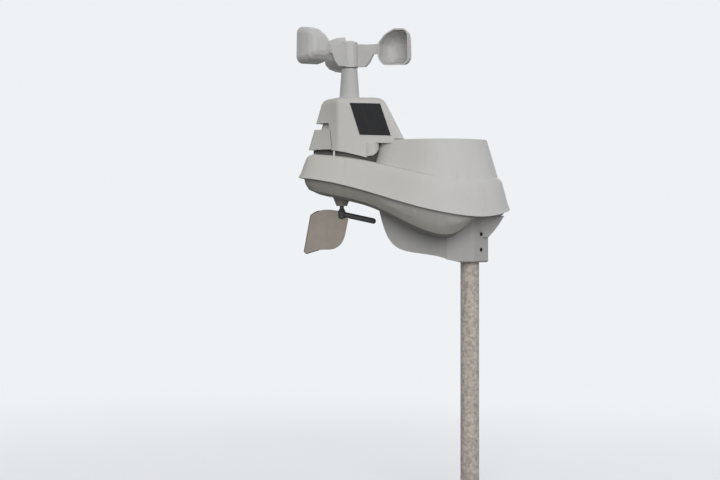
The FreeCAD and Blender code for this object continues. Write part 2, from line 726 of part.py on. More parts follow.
# ---- wind speed rotor ---------------------------------------------------------------------------
def make_wind_post():
    z = TOWER_TOP_Z
    points = [(0, z), (POST_FOOT_R + POST_FLARE, z), (POST_FOOT_R + 1.0, z + 1.4), (POST_FOOT_R, z + 4),
              (POST_TOP_R, POST_TOP_Z), (0, POST_TOP_Z)]
    bore = cylinder(WIND_X, 0, POST_TOP_Z - SHAFT_REACH, POST_TOP_Z + 1, WIND_SHAFT_R + PRESS)
    add("wind_post", revolve(points, WIND_X, 0).cut(bore))
    add("wind_shaft", cylinder(WIND_X, 0, POST_TOP_Z - SHAFT_REACH, HUB_TOP_Z - 8, WIND_SHAFT_R))
    add("wind_washer", tube(WIND_X, 0, POST_TOP_Z, HUB_LOW_Z, 5, WIND_SHAFT_R + 0.05))


def scoop(depth, wall):
    """A cup as a solid, mouth at y = 0 and closed end towards +Y, drawn in by a wall."""
    sections = []
    for share, size in CUP_CLOSING:
        scale = size * (1 - wall / (CUP_MOUTH[2][1] * 0.9))
        corners = [V(CUP_MID + (x - CUP_MID) * scale, depth * share, CUP_Z + z * scale) for x, z in CUP_MOUTH]
        sections.append(softened(corners, CUP_CORNER_R * scale))
    return Part.makeLoft(sections, True, True)


def cup_with_web(angle):
    outer = scoop(CUP_DEPTH, 0)
    inner = scoop(CUP_DEPTH - CUP_WALL, CUP_WALL)
    low = HUB_LOW_Z + 2
    high = HUB_TOP_Z - 1.0
    side = ((HUB_FLAT, low), (HUB_FLAT + 13, low), (HUB_FLAT + 19, low + 6), (HUB_FLAT + 25, CUP_Z - 8),
            (50, CUP_Z - 8), (50, CUP_Z + 6), (HUB_FLAT + 16, high - 1), (HUB_FLAT, high))
    web = prism_y(side, 2.0, 2.0 + WEB_THICK)
    foot = box(HUB_FLAT, HUB_FLAT + 2.5, -5.5, 7.0, low, high)
    cup = outer.fuse([web, foot]).cut(inner)
    cup.rotate(V(0, 0, 0), UP, angle)
    return cup.translated(V(WIND_X, 0, 0)).removeSplitter()


def make_rotor():
    points = [(0, HUB_LOW_Z), (6, HUB_LOW_Z), (6.5, HUB_LOW_Z + 1), (HUB_R + 0.5, HUB_LOW_Z + 1),
              (HUB_R + 0.5, HUB_TOP_Z), (0, HUB_TOP_Z)]
    hub = revolve(points, WIND_X, 0).cut(cylinder(WIND_X, 0, 0, HUB_TOP_Z - 7.5, WIND_SHAFT_R + 0.05))
    for k in range(3):
        angle = CUP_REST_DEG + 120 * k
        flat = box(HUB_FLAT, 30, -20, 20, 200, 400)
        flat.rotate(V(0, 0, 0), UP, angle)
        hub = hub.cut(flat.translated(V(WIND_X, 0, 0)))
        add("wind_cup_%d" % (k + 1), cup_with_web(angle))
    add("wind_hub", hub)
    cap = [(0, HUB_TOP_Z), (HUB_R, HUB_TOP_Z), (HUB_R - 0.8, HUB_TOP_Z + 2), (HUB_R - 4, HUB_TOP_Z + 3.4),
           (0, HUB_TOP_Z + 3.4)]
    add("hub_cap", revolve(cap, WIND_X, 0))


# ---- wind vane -------------------------------------------------------------------------------------
def make_vane():
    """A flat blade on a stub arm, hung from a shaft in the housing's bearing."""
    x = VANE_X
    top = VANE_TOP_Z
    lower = Part.BSplineCurve()
    lower.interpolate([V(x - 53.8, 0, 15.5), V(x - 50.5, 0, 12.2), V(x - 41, 0, 14.6), V(x - 27, 0, 17.6),
                       V(x - 12, 0, 18.6), V(x - 1.5, 0, 25.5), V(x + 5.5, 0, 42), V(x + 9.3, 0, 60)])
    crown = Part.BSplineCurve()
    crown.interpolate([V(x + 4, 0, top - 2), V(x - 14, 0, top + 1.6), V(x - 32, 0, top + 0.4), V(x - 44.6, 0, top - 6.5)])
    lines = [Part.makeLine(V(x + 9.3, 0, 60), V(x + 4, 0, top - 2)),
             Part.makeLine(V(x - 44.6, 0, top - 6.5), V(x - 53.8, 0, 15.5))]
    outline = Part.Wire(Part.__sortEdges__([lower.toShape(), crown.toShape()] + lines))
    blade = Part.Face(outline).extrude(V(0, VANE_THICK, 0)).translated(V(0, -VANE_THICK / 2, 0))
    start = V(x, 0, top - 4.5)
    way = V(ARM_REACH, 0, -ARM_DROP)
    arm = Part.makeCylinder(ARM_R, way.Length, start, way)
    hub = revolve([(0, top - 12), (5, top - 10), (5.5, top - 1), (3.6, top + 3), (0, top + 3)], x, 0)
    seat = top - 6
    body = hub.fuse(arm).cut(cylinder(x, 0, seat, 200, VANE_SHAFT_R - 0.5 + PRESS))
    add("vane_arm", body.removeSplitter())
    add("vane_blade", blade.cut(hub.fuse(arm)).removeSplitter())
    shaft = cylinder(x, 0, seat, top + 3, VANE_SHAFT_R - 0.5)
    collar = cylinder(x, 0, BEARING_TOP_Z, BEARING_TOP_Z + 2, 5.5)
    shaft = shaft.fuse([cylinder(x, 0, top + 3, BEARING_TOP_Z + 3, VANE_SHAFT_R), collar])
    add("vane_shaft", shaft.removeSplitter())
    bush = tube(x, 0, VANE_BOSS_LOW_Z + 1, BEARING_TOP_Z, 5.98, VANE_SHAFT_R + 0.05)
    head = tube(x, 0, BEARING_TOP_Z - 3, BEARING_TOP_Z, 8.6, VANE_SHAFT_R + 0.05)
    add("vane_bush", bush.fuse(head).removeSplitter())


# ---- rain bucket ------------------------------------------------------------------------------------
def across(x, z, half, radius):
    return Part.makeCylinder(radius, 2 * half, V(x, -half, z), ACROSS)


def make_bucket():
    """A two-sided bucket that rocks on an axle between the cheeks of a cradle."""
    x = SPOUT_X
    z = BUCKET_PIVOT_Z
    tip = BUCKET_HALF
    outline = [(x - tip, z), (x, z - 3), (x + tip, z), (x + tip - 3, z + 7), (x + 6, z + 10),
               (x + 1, z + 18), (x - 1, z + 18), (x - 6, z + 10), (x - tip + 3, z + 7)]
    y = BUCKET_HALF_Y
    body = prism_y(outline, -y, y)
    for side in (-1, 1):
        inner = x + side * 1.2
        outer = x + side * (tip - 2)
        room = [(inner, z + 26), (inner, z + 3), (outer, z + 1.6), (outer, z + 26)]
        body = body.cut(prism_y(room, -y + 1.2, y - 1.2))
    add("tipping_bucket", body.cut(across(x, z, 30, BUCKET_AXLE_R - PRESS)))
    add("bucket_axle", across(x, z, CHEEK_Y + 1.2, BUCKET_AXLE_R))
    floor = CHAMBER_FLOOR_Z
    cradle = box(x - 6, x + 6, -CHEEK_Y - 1.2, CHEEK_Y + 1.2, floor, floor + 1.2)
    for side in (-1, 1):
        cradle = cradle.fuse(box(x - 6, x + 6, -1.2, 1.2, floor, z + 8).translated(V(0, side * CHEEK_Y, 0)))
    add("bucket_cradle", cradle.cut(across(x, z, 30, BUCKET_AXLE_R + 0.06)).removeSplitter())
    add("bucket_magnet", box(x - 2, x + 2, y, y + 1.0, z + 4.5, z + 8.0))
    add("reed_switch", box(x - 5, x + 5, CHEEK_Y + 1.2, CHEEK_Y + 3.2, floor + 2, z + 7))


# ---- electronics and screws -----------------------------------------------------------------------
def make_electronics():
    z = BAY_FLOOR_Z
    board = 1.6
    add("circuit_board", box(-160, -100, -20, 20, z, z + board))
    add("radio_module", box(-130, -112, -9, 9, z + board, z + board + 2.6))
    tray = box(-215, -203, -16, 16, z, z + 12).cut(box(-213.5, -204.5, -14.5, 14.5, z + 1.2, z + 20))
    add("sensor_socket", tray)


def make_housing_screws():
    """Six hexagon-headed screws up through the hull into the upper shell's posts."""
    screws = []
    seat = BOSS_SPLIT_Z - SCREW_SEAT_DEPTH
    for x, y in boss_places():
        turns = [2 * math.pi * k / 6 for k in range(6)]
        head = Part.Face(closed([V(x + 3.3 * math.cos(a), y + 3.3 * math.sin(a), seat) for a in turns]))
        shank = cylinder(x, y, seat, BOSS_SPLIT_Z + 8, SCREW_CORE_R - 0.05)
        screws.append(shank.fuse(head.extrude(V(0, 0, -2.2))))
    add("housing_screws", Part.makeCompound(screws))


def make_fan():
    """The small fan that draws air up through the tower, and the sensor below it."""
    x = WIND_X
    z = FAN_Z
    reach = TOWER_HALF_Y - CORE_INSET - CORE_WALL - SLIDE_GAP
    side = FAN_R + 2
    frame = box(x - side, x + side, -side, side, z - 4, z + 8).fuse(box(x - 10, x + 10, -reach, reach, z - 4, z + 1))
    frame = frame.cut(cylinder(x, 0, z - 5, z + 20, FAN_R))
    hub = cylinder(x, 0, z - 4, z - 1, 8).fuse(box(x - side + 1, x + side - 1, -1.5, 1.5, z - 4, z - 2))
    pin = cylinder(x, 0, z - 1, z + 6, 1.2)
    add("fan_frame", frame.fuse([hub, pin]).removeSplitter())
    rotor = cylinder(x, 0, z - 1, z + 7, 7)
    blades = []
    for k in range(FAN_BLADES):
        blade = box(5, FAN_R - 1.5, -0.5, 0.5, -3.4, 3.4)
        blade.rotate(V(0, 0, 0), V(1, 0, 0), 38)
        blade.rotate(V(0, 0, 0), UP, 360 * k / FAN_BLADES)
        blades.append(blade.translated(V(x, 0, z + 3.2)))
    add("fan_rotor", rotor.fuse(blades).cut(cylinder(x, 0, z - 2, z + 6.2, 1.25)))
    board_top = CORE_FOOT_Z + 1.6
    add("climate_sensor", box(x - 8, x + 8, -5, 5, CORE_FOOT_Z, board_top).fuse(
        box(x - 2, x + 2, -2, 2, board_top, board_top + 1.4)))


MAKERS = (make_pole, make_clamp_screws, make_lower_housing, make_upper_shell, make_rain_funnel,
          make_debris_screen, make_tower, make_wind_post, make_rotor, make_vane, make_bucket,
          make_electronics, make_housing_screws, make_fan)


def main():
    os.makedirs("parts", exist_ok=True)
    for make in MAKERS:
        make()
    for name, shape in NODES.items():
        shape = shape.translated(V(0, 0, POLE_EXPOSED))
        shape.exportStep("parts/%s.step" % name)
        print(name, shape.isValid(), len(shape.Solids), round(shape.Volume))


main()
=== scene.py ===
"""Finishes and small trim for a pole-mounted weather sensor head."""
import math

import bmesh
import bpy
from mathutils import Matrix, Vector
from mathutils.bvhtree import BVHTree


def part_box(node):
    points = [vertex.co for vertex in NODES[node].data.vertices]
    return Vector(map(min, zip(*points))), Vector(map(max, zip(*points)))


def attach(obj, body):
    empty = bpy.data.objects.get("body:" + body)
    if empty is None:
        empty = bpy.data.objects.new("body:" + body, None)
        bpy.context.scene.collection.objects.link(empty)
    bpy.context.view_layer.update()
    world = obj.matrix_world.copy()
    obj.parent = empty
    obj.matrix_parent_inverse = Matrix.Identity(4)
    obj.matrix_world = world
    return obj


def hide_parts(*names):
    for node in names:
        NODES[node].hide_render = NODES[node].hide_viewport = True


bl_info = {
    "name": "Weather Sensor Head",
    "version": (1, 0, 0),
    "blender": (4, 5, 0),
    "location": "3D View > Sidebar > Sensor Head",
    "description": "Dresses the sensor head's frame in weathered plastics, zinc and solar cells",
    "category": "Object",
}

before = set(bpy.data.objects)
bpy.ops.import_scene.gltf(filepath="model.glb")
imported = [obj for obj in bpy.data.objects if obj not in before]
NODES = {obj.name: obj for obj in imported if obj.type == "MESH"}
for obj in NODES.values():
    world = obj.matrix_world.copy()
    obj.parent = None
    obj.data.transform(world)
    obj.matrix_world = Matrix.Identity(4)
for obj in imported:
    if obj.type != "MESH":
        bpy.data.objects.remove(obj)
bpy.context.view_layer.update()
SOCKET_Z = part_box("lower_housing")[0].z
HEAD, ROTOR, VANE = "head", "wind_rotor", "vane"
SIDES = ((-1, "near"), (1, "far"))
X, Y, Z = Vector((1.0, 0.0, 0.0)), Vector((0.0, 1.0, 0.0)), Vector((0.0, 0.0, 1.0))

# Lengths are in metres.
WELD = 0.00002                          # corners closer than this are one corner
SLIVER = 0.00001                        # edges shorter than this are dissolved
RAY_START, GAP_SHADE_RAY = 0.3, 0.2          # how far out the rays to the walls and to the core start
ASIDE = (0.0, 0.0008, -0.0008, 0.0016, -0.0016)     # where a ray looks again when it falls in a joint

BEAD_STEP = 0.002                       # spacing of a bead's rings
BEAD_FLATS = 6                          # flats across its half-round top
BEZEL_OUT, BEZEL_RISE = 0.62, 0.45      # a bezel's place beyond the panel and its height, in its widths
SEAM_RISE = 0.2                         # height of a seam's dark bead of painted shadow, in its widths
SEAM_LEAN = 0.11                        # lean towards the nose, as a share of the louvre's height
SEAM_FOOT, SEAM_HEAD = 0.0015, 0.001    # ends of a seam inside the louvre's foot and head

GAP_SHADE_CENTRE = 0.68                      # centre of the painted shade sleeve's nose, as a share of the core's length
GAP_SHADE_LIFT = 0.0015                      # height over the core's foot at which the core's outline is taken
GAP_SHADE_OUT = 0.0019                       # distance of the painted shade sleeve from the core's wall
GAP_SHADE_FLATS = 40                         # flats round its nose
GAP_SHADE_TAIL, GAP_SHADE_RUN = 0.002, 0.018      # start and length of its run from the core to the collector
GAP_SHADE_TAPER = 0.25                       # narrowing along that run
GAP_SHADE_LEVELS = (-0.016, -0.006, 0.0042)  # heights against the core's foot

SCREW_PITCH = 0.022                     # height that belongs to one clamp screw
WELL_SHADE_FLATS = 24
WELL_SHADE_RINGS = ((-0.0003, 1.0), (0.0034, 1.0), (0.0036, 0.95), (0.0034, 0.86), (-0.0003, 0.80))
                                        # places beyond the screw's head, with shares of the painted shade
                                        # sleeve's radius

FACING = 0.9                            # least Y of a normal on a face of the vane's blade
EDGE_SHADE_SPAN = 0.34                         # share of the blade's length that carries the painted shade bead
EDGE_SHADE_FOOT = 0.004                        # height over the blade's foot where the painted shade bead ends
EDGE_SHADE_FLATS = 8
TIP_END = 0.0025                        # depth of the arm's end ring
TIP_SINK = 0.0012                       # the dome starts this far inside the arm
TIP_GROWTH = 1.01                       # radius of the dome against the arm's
TIP_RINGS, TIP_FLATS = 7, 20

FLOOR_R, FLOOR_DROP = 14.0, 0.001
FLOOR_FADE = (0.35, 1.6)                # radii between which the floor runs into the backdrop
LAMP_AIM = Vector((-0.1, 0.0, SOCKET_Z + 0.12))
LAMPS = (                               # name, place, size and share of the key's power
    ("key", (0.30, -2.55, 1.20), 2.0, 1.0),
    ("left", (-2.4, 0.4, 1.5), 1.4, 0.10),
    ("right", (2.3, 0.4, 1.5), 1.4, 0.12),
    ("back", (0.3, 2.3, 1.6), 1.6, 0.55),
)


# ---- shader expressions -----------------------------------------------------------------------
class Wire:
    """A shader socket that adds Math nodes when it is used in an expression."""

    def __init__(self, nodes, socket):
        self.nodes = nodes
        self.socket = socket

    def maths(self, operation, *others):
        return self.nodes.node("ShaderNodeMath", {"operation": operation}, self, *others)

    def __add__(self, other):
        return self.maths("ADD", other)

    def __sub__(self, other):
        return self.maths("SUBTRACT", other)

    def __rsub__(self, other):
        return self.nodes.node("ShaderNodeMath", {"operation": "SUBTRACT"}, other, self)

    def __mul__(self, other):
        return self.maths("MULTIPLY", other)

    def __lt__(self, other):
        return self.maths("LESS_THAN", other)

    __radd__ = __add__
    __rmul__ = __mul__


class Nodes:
    """Adds nodes to one tree."""

    def __init__(self, tree):
        self.tree = tree

    def plug(self, node, key, value):
        """Links a socket's wire, or sets the socket's own value."""
        value = getattr(value, "socket", value)
        if isinstance(value, bpy.types.NodeSocket):
            self.tree.links.new(value, node.inputs[key])
        else:
            node.inputs[key].default_value = value

    def node(self, kind, settings, *values, output=0, places=None, **named):
        """Adds a node: its settings first, then its sockets in order, by place or by name."""
        made = self.tree.nodes.new(kind)
        for key, value in settings.items():
            setattr(made, key, value)
        pairs = list(enumerate(values)) + list((places or {}).items())
        pairs += [(key.replace("_", " "), value) for key, value in named.items()]
        for key, value in pairs:
            self.plug(made, key, value)
        return Wire(self, made.outputs[output])

    def ramp(self, value, low, high):
        """0 below low, 1 above high, a smooth step between."""
        settings = {"interpolation_type": "SMOOTHSTEP"}
        return self.node("ShaderNodeMapRange", settings, value, low, high, 0.0, 1.0)

    def noise(self, scale, detail=3.0, rough=0.55, at=None):
        return self.node("ShaderNodeTexNoise", {}, Vector=at or self.place, Scale=scale, Detail=detail,
                         Roughness=rough)

    def stretched(self, x, y, z):
        return self.node("ShaderNodeVectorMath", {"operation": "MULTIPLY"}, self.place, (x, y, z))

    def axis(self, vector, letter):
        return self.node("ShaderNodeSeparateXYZ", {}, vector, output=letter)

    def blend(self, share, base, top):
        """Mixes two colours, whose sockets go by place because the node's other types share their names."""
        return self.node("ShaderNodeMix", {"data_type": "RGBA"}, share, places={6: base, 7: top}, output=2)

    def seen(self):
        """1 on rays from the camera and in reflections, 0 on light that falls on the object."""
        plain, mirrored, clear = [self.node("ShaderNodeLightPath", {}, output=f"Is {kind} Ray")
                                  for kind in ("Camera", "Glossy", "Transmission")]
        return plain.maths("MAXIMUM", mirrored).maths("MAXIMUM", clear)


class Finish(Nodes):
    """One material: a Principled shader and the nodes that feed it."""

    def __init__(self, name, **constants):
        self.material = bpy.data.materials.new(name)
        self.material.use_nodes = True
        super().__init__(self.material.node_tree)
        self.shader = self.tree.nodes["Principled BSDF"]
        for socket, value in constants.items():
            self.shader.inputs[socket.replace("_", " ")].default_value = value
        self.place = self.node("ShaderNodeTexCoord", {}, output="Object")
        self.normal = self.node("ShaderNodeNewGeometry", {}, output="Normal")

    def feed(self, socket, value):
        self.plug(self.shader, socket, value)

    def bump(self, height, strength, distance):
        """Relief over the surface."""
        self.feed("Normal", self.node("ShaderNodeBump", {}, Height=height, Strength=strength,
                                      Distance=distance))


def rgba(colour, gain=1.0):
    return tuple(channel * gain for channel in colour[:3]) + (1.0,)


def moulded_plastic(name, colour, grime, texture=0.12, roughness=0.52, yellowing=0.0, underside_shade=0.35):
    """Weathered moulding: spark texture, sink blotches, rain marks, dust on top, painted shade that darkens
    faces turned downwards, and yellowing.
    """
    finish = Finish(name, IOR=1.45)
    blotch = finish.noise(11.0, 4.0, 0.6)
    streaks = finish.noise(1.0, 3.0, 0.6, at=finish.stretched(110.0, 110.0, 6.0))
    grain = finish.noise(1900.0, 2.0, 0.5)
    facing = finish.axis(finish.normal, "Z")
    settled = finish.ramp(facing, 0.35, 0.95) * finish.ramp(blotch, 0.38, 0.66)
    run = finish.ramp(streaks, 0.50, 0.80) * finish.ramp(blotch, 0.44, 0.64) * 0.28
    # painted shade: faces that turn downwards are darkened towards the soiled colour, as if in shadow
    painted_underside_shade = finish.ramp(0.0 - facing, 0.0, 0.30) * underside_shade
    tint = finish.blend(finish.ramp(blotch, 0.25, 0.75), rgba(colour, 0.955), rgba(colour, 1.035))
    if yellowing > 0.0:
        weather_side = finish.ramp(0.0 - finish.axis(finish.place, "X"), -0.05, 0.22)
        aged = weather_side * (blotch * 0.7 + 0.3) * yellowing
        tint = finish.blend(aged, tint, (colour[0] * 0.97, colour[1] * 0.95, colour[2] * 0.80, 1.0))
    # dust and rain marks are real dirt; the underside term is painted shade; grime scales all three
    dirt_and_shade = (settled * 0.55 + run + painted_underside_shade) * grime
    soiled_and_shaded = (colour[0] * 0.62, colour[1] * 0.59, colour[2] * 0.52, 1.0)
    finish.feed("Base Color", finish.blend(dirt_and_shade, tint, soiled_and_shaded))
    finish.feed("Roughness", blotch * 0.10 + dirt_and_shade * 0.22 + roughness)
    finish.bump(grain * 0.8 + blotch * 2.0, texture, 0.0004)
    return finish.material


def vane_plastic(name, colour, grime):
    """Thin blade moulding, with painted shade that darkens its edge against its faces."""
    finish = Finish(name, IOR=1.45)
    blotch = finish.noise(24.0, 4.0, 0.62)
    grain = finish.noise(1500.0, 2.0, 0.5)
    across = finish.axis(finish.node("ShaderNodeTexCoord", {}, output="Normal"), "Y").maths("ABSOLUTE")
    edge = 1.0 - finish.ramp(across, 0.25, 0.75)
    tint = finish.blend(finish.ramp(blotch, 0.28, 0.72), rgba(colour, 0.90), rgba(colour, 1.07))
    # painted shade: faces whose normal turns away from Y, at the blade's edge, are darkened towards a third
    # of the colour
    tint = finish.blend(edge * 0.7, tint, rgba(colour, 0.35))
    streaks = finish.noise(1.0, 3.0, 0.6, at=finish.stretched(240.0, 240.0, 12.0))
    finish.feed("Base Color", finish.blend(finish.ramp(streaks, 0.55, 0.8) * grime, tint, rgba(colour, 0.68)))
    finish.feed("Roughness", blotch * 0.12 + 0.5)
    finish.bump(grain * 0.7 + blotch, 0.2, 0.0004)
    return finish.material


def galvanised_steel(name, colour):
    """Dull zinc with small overlapping spangles, run marks and a few rust-brown specks."""
    finish = Finish(name, IOR=1.5, Specular_IOR_Level=0.3)
    wander = finish.noise(90.0, 2.0, 0.5) * 0.004
    at = finish.node("ShaderNodeVectorMath", {"operation": "ADD"}, finish.place, wander)
    flake = finish.node("ShaderNodeTexVoronoi", {"feature": "F1"}, Vector=at, Scale=250.0, output="Color")
    tone = finish.axis(flake, "X")
    cloud = finish.noise(240.0, 5.0, 0.68)
    wide = finish.noise(22.0, 3.0, 0.6)
    runs = finish.noise(1.0, 4.0, 0.6, at=finish.stretched(150.0, 150.0, 12.0))
    speck = finish.ramp(finish.noise(420.0, 2.0, 0.5), 0.68, 0.76) * finish.ramp(wide, 0.45, 0.65)
    shade = tone * 0.20 + cloud * 0.46 + wide * 0.10 + runs * 0.16
    metal = finish.blend(finish.ramp(shade, 0.30, 0.62), rgba(colour, 0.70), rgba(colour, 1.26))
    finish.feed("Base Color", finish.blend(speck * 0.5, metal, (0.15, 0.10, 0.065, 1.0)))
    finish.feed("Metallic", 0.12 - speck * 0.08 - cloud * 0.06)
    finish.feed("Roughness", tone * 0.14 + cloud * 0.16 + 0.50)
    finish.bump(tone * 0.5 + runs * 0.6 + cloud * 0.8 + speck, 0.22, 0.0005)
    return finish.material


def machined_metal(name, colour, roughness=0.28):
    """Turned or drawn metal with fine circular tool marks."""
    finish = Finish(name, Metallic=1.0)
    marks = finish.noise(1.0, 2.0, 0.5, at=finish.stretched(300.0, 300.0, 5200.0))
    stain = finish.noise(60.0, 4.0, 0.6)
    finish.feed("Base Color", finish.blend(stain, rgba(colour, 0.8), rgba(colour, 1.1)))
    finish.feed("Roughness", marks * 0.16 + stain * 0.1 + roughness)
    finish.bump(marks, 0.15, 0.0002)
    return finish.material


def solar_cells(name, colour):
    """Near-black cells under clear resin, with hair-thin fingers and dark joints between the cells."""
    finish = Finish(name, Coat_Weight=0.02, Coat_Roughness=0.15, IOR=1.45, Specular_IOR_Level=0.07)
    x = finish.axis(finish.place, "X")
    z = finish.axis(finish.place, "Z")
    slant = x + z * 0.325
    finger = finish.node("ShaderNodeMath", {"operation": "PINGPONG"}, z, 0.0011) < 0.00016
    cell = finish.node("ShaderNodeMath", {"operation": "PINGPONG"}, slant, 0.0073) < 0.00035
    cloud = finish.noise(70.0, 3.0, 0.6)
    silicon = finish.blend(cloud, rgba(colour, 0.75), rgba(colour, 1.35))
    printed = finish.blend(finger * 0.10, silicon, (0.10, 0.105, 0.12, 1.0))
    finish.feed("Base Color", finish.blend(cell * 0.10, printed, (0.09, 0.095, 0.10, 1.0)))
    finish.feed("Roughness", finish.noise(34.0, 4.0, 0.6) * 0.12 + 0.18)
    finish.bump(cell * -0.5 + finger * 0.2, 0.2, 0.0002)
    return finish.material


def circuit_board(name, colour):
    """Solder mask with copper tracks beneath it."""
    finish = Finish(name, Coat_Weight=0.4, Coat_Roughness=0.15)
    track = finish.node("ShaderNodeTexBrick", {"offset": 0.37}, Vector=finish.place, Scale=160.0,
                        Mortar_Size=0.03, output="Fac")
    finish.feed("Base Color", finish.blend(track, rgba(colour), rgba(colour, 1.9)))
    finish.feed("Roughness", finish.noise(90.0) * 0.2 + 0.3)
    return finish.material


# ---- properties --------------------------------------------------------------------------------
def colour_property(label, text, default):
    return bpy.props.FloatVectorProperty(name=label, description=text, default=default, subtype="COLOR",
                                         size=3, min=0.0, max=1.0)


def number_property(label, text, default, **limits):
    return bpy.props.FloatProperty(name=label, description=text, default=default, **limits)


class SensorHeadFinishes(bpy.types.PropertyGroup):
    """Colours of the mouldings and metals."""
    shell: colour_property("Shell", "Pale plastic of the shells, tower and cups", (0.505, 0.50, 0.492))
    housing: colour_property("Housing", "Mid-grey plastic of the lower housing", (0.385, 0.38, 0.37))
    # painted shade: the post is the shell's plastic, darkened for the shade under the rotor
    shaded_post: colour_property("Post", "Plastic of the wind post", (0.44, 0.44, 0.43))
    vane: colour_property("Vane", "Warm grey plastic of the wind vane", (0.285, 0.25, 0.212))
    # dark is also the colour of the painted seam shadows beside the louvre
    dark: colour_property("Dark parts", "Plastic of the arm, seams and inner mechanisms", (0.03, 0.03, 0.033))
    # painted shade: colour of the dark sleeve that fills the shaded gap under the tower
    gap_shade: colour_property("Seal", "Rubber of the seal under the tower", (0.075, 0.073, 0.066))
    # painted shade: near-black colour of the clamp screws and the sleeves over them, for the shade in their
    # wells
    screw: colour_property("Screw black", "Blackened steel of the clamp screws", (0.025, 0.025, 0.025))
    zinc: colour_property("Zinc", "Galvanised coat of the pole", (0.455, 0.415, 0.365))
    cells: colour_property("Cells", "Solar cells under resin", (0.008, 0.008, 0.009))
    bezel: number_property("Bezel width", "Width of the bead round a solar panel", 0.0011, min=0.0,
                           unit="LENGTH")
    # painted shadow: width of the dark bead along the seam beside the louvre
    seam: number_property("Seam width", "Width of the seam beside the louvre", 0.0009, min=0.0, unit="LENGTH")
    # painted shade: radius of the dark bead laid along the vane's edge
    edge_shade_bead: number_property("Rim radius", "Radius of the dark bead on the vane's edge", 0.0006, min=0.0,
                         unit="LENGTH")
    # painted shade: radius of the black sleeves in the clamp screws' wells
    well_shade: number_property("Liner radius", "Radius of the sleeves over the clamp screws", 0.0029, min=0.0,
                           unit="LENGTH")
    # grime also scales the painted shade on the mouldings' downward faces
    grime: number_property("Grime", "Share of dust and rain marks on the mouldings", 0.55, min=0.0, max=1.0,
                           subtype="FACTOR")


class SensorHeadStage(bpy.types.PropertyGroup):
    """Camera, lamps and floor."""
    lens: number_property("Lens", "Focal length on a 36 mm sensor", 70.0, min=10.0, unit="CAMERA")
    distance: number_property("Distance", "Camera to pole axis", 2.002, unit="LENGTH")
    eye_above_socket: number_property("Eye height", "Camera above the pole socket's foot", 0.063,
                                      unit="LENGTH")
    side: number_property("Sideways", "Camera along X from the pole axis", -0.157, unit="LENGTH")
    shift: number_property("Shift", "Vertical lens shift, as a share of the frame's width", -0.0306)
    key: number_property("Key", "Power of the large front lamp", 51.0, min=0.0, unit="POWER")
    fill: number_property("Sky", "Strength of the even light from above", 0.54, min=0.0)
    low: number_property("Low sky", "Strength of the even light near the horizon", 0.20, min=0.0)
    bounce: number_property("Bounce", "Share of the floor's colour that lights the object", 0.12, min=0.0,
                            max=1.0, subtype="FACTOR")
    floor: colour_property("Floor", "Colour of the floor near the pole", (0.80, 0.82, 0.84))
    backdrop: colour_property("Backdrop", "Colour seen behind and far round the object", (0.86, 0.885, 0.91))


# ---- meshes ------------------------------------------------------------------------------------
def new_piece(name, build, body, material):
    """A mesh object made by build(bmesh), riding on a body with one material."""
    mesh = bpy.data.meshes.new(name)
    bm = bmesh.new()
    build(bm)
    bmesh.ops.recalc_face_normals(bm, faces=bm.faces)
    bm.to_mesh(mesh)
    bm.free()
    mesh.materials.append(material)
    piece = bpy.data.objects.new(name, mesh)
    bpy.context.collection.objects.link(piece)
    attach(piece, body)
    return piece


def loft(bm, rings, close=False):
    """Joins rings of equal count, capping the ends unless the run closes on itself."""
    made = [[bm.verts.new(point) for point in ring] for ring in rings]
    runs = list(zip(made, made[1:] + made[:1])) if close else list(zip(made, made[1:]))
    for lower, upper in runs:
        count = len(lower)
        for k in range(count):
            face = bm.faces.new((lower[k], lower[(k + 1) % count], upper[(k + 1) % count], upper[k]))
            face.smooth = True
    if not close:
        bm.faces.new(made[0][::-1])
        bm.faces.new(made[-1])


def weld(bm, name):
    """Fills a mesh with a CAD node's faces, joined where their corners meet."""
    bm.from_mesh(NODES[name].data)
    bmesh.ops.remove_doubles(bm, verts=bm.verts, dist=WELD)


def circle(middle, side, up, radius, flats):
    """Points round a circle in the plane of side and up."""
    turns = [2 * math.pi * k / flats for k in range(flats)]
    return [middle + side * (radius * math.cos(turn)) + up * (radius * math.sin(turn)) for turn in turns]


def surface_of(*names):
    """Search trees over the meshes of CAD nodes."""
    trees = []
    for name in names:
        bm = bmesh.new()
        bm.from_mesh(NODES[name].data)
        trees.append(BVHTree.FromBMesh(bm))
        bm.free()
    return trees


def landing(trees, start, heading):
    """Nearest point and outward normal where a ray meets the surfaces, looking to either side of a joint."""
    for aside in ASIDE:
        hits = [tree.ray_cast(start + X * aside, heading) for tree in trees]
        hits = [hit for hit in hits if hit[0] is not None]
        if hits:
            place, normal, _, _ = min(hits, key=lambda hit: hit[3])
            return place - X * aside, normal if normal.dot(heading) < 0 else -normal
    raise RuntimeError(f"no surface under {tuple(start)}")


